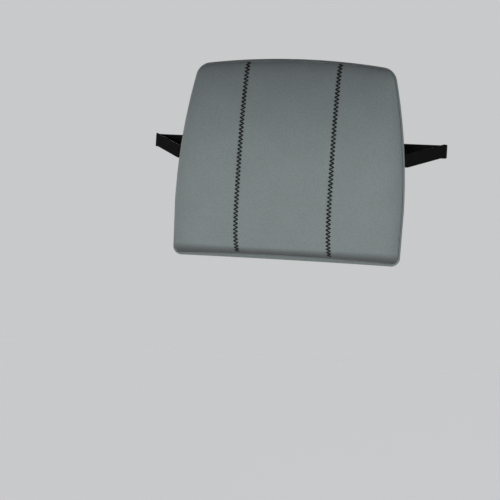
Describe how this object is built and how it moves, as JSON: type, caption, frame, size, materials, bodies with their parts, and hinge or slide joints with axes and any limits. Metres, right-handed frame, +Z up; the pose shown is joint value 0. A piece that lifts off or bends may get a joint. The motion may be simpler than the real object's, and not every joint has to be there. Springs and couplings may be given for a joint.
{
  "type": "lumbar back support cushion",
  "caption": "Slim padded lumbar cushion in three sewn panels with hinged wings and an elastic strap with side-release buckle that loops round a chair back.",
  "frame": {"origin": "centre of the cushion's flat rear face", "axes": "+Z up, -Y towards the sitter, +X to the sitter's left along the strap"},
  "size_m": [0.4538, 0.1069, 0.3019],
  "materials": {
    "cover_fabric": "brushed grey knit",
    "rear_fabric": "charcoal woven",
    "foam": "open-cell memory foam",
    "thread": "black polyester thread",
    "elastic": "black ribbed elastic",
    "buckle_plastic": "black moulded acetal",
    "label": "white satin tape"
  },
  "bodies": {
    "centre_section": {"foam_centre": "foam", "front_cover_centre": "cover_fabric", "rear_cover_centre": "rear_fabric", "edge_binding_centre": "cover_fabric", "strap_corner_left": "elastic", "strap_corner_right": "elastic", "strap_back_left": "elastic", "strap_back_right": "elastic", "strap_outer_layer": "elastic", "strap_return_layer": "elastic", "strap_fold_socket": "elastic", "buckle_socket": "buckle_plastic"},
    "left_wing": {"foam_left": "foam", "front_cover_left": "cover_fabric", "rear_cover_left": "rear_fabric", "edge_binding_left": "cover_fabric", "zigzag_stitch_left": "thread", "groove_web_left": "rear_fabric", "strap_anchor_left": "elastic", "anchor_stitch_left": "thread", "strap_side_left": "elastic"},
    "right_wing": {"foam_right": "foam", "front_cover_right": "cover_fabric", "rear_cover_right": "rear_fabric", "edge_binding_right": "cover_fabric", "zigzag_stitch_right": "thread", "groove_web_right": "rear_fabric", "strap_anchor_right": "elastic", "anchor_stitch_right": "thread", "strap_side_right": "elastic", "care_label": "label"},
    "buckle_insert": {"buckle_insert": "buckle_plastic", "strap_fold_insert": "elastic", "insert_bartack": "thread"},
    "upper_latch": {"latch_arm_upper": "buckle_plastic"},
    "lower_latch": {"latch_arm_lower": "buckle_plastic"},
    "adjuster": {"adjuster_frame": "buckle_plastic", "strap_weave_adjuster": "elastic", "strap_end_adjuster": "elastic"}
  },
  "joints": [
    {"name": "left_wing_fold", "type": "hinge", "parent": "centre_section", "child": "left_wing", "pos_m": [0.07, -0.0392, 0], "axis": [0, 0, -1], "range_deg": [-10, 18], "stiffness_Nm_per_rad": 0.6, "deforming": ["zigzag_stitch_left", "groove_web_left", "strap_side_left"]},
    {"name": "right_wing_fold", "type": "hinge", "parent": "centre_section", "child": "right_wing", "pos_m": [-0.07, -0.0392, 0], "axis": [0, 0, 1], "range_deg": [-10, 18], "stiffness_Nm_per_rad": 0.6, "deforming": ["zigzag_stitch_right", "groove_web_right", "strap_side_right"]},
    {"name": "buckle_release", "type": "slide", "parent": "centre_section", "child": "buckle_insert", "axis": [1, 0, 0], "range_m": [0, 0.034], "deforming": ["strap_back_left", "latch_arm_upper", "latch_arm_lower"]},
    {"name": "upper_latch_squeeze", "type": "hinge", "parent": "buckle_insert", "child": "upper_latch", "pos_m": [0.013, 0.05964, 0.0342], "axis": [0, -1, 0], "range_deg": [0, 8], "stiffness_Nm_per_rad": 1.2},
    {"name": "lower_latch_squeeze", "type": "hinge", "parent": "buckle_insert", "child": "lower_latch", "pos_m": [0.013, 0.05964, 0.0178], "axis": [0, 1, 0], "range_deg": [0, 8], "stiffness_Nm_per_rad": 1.2},
    {"name": "adjuster_slide", "type": "slide", "parent": "centre_section", "child": "adjuster", "axis": [1, 0, 0], "range_m": [-0.05, 0.02], "deforming": ["strap_back_right", "strap_outer_layer", "strap_return_layer"]}
  ]
}
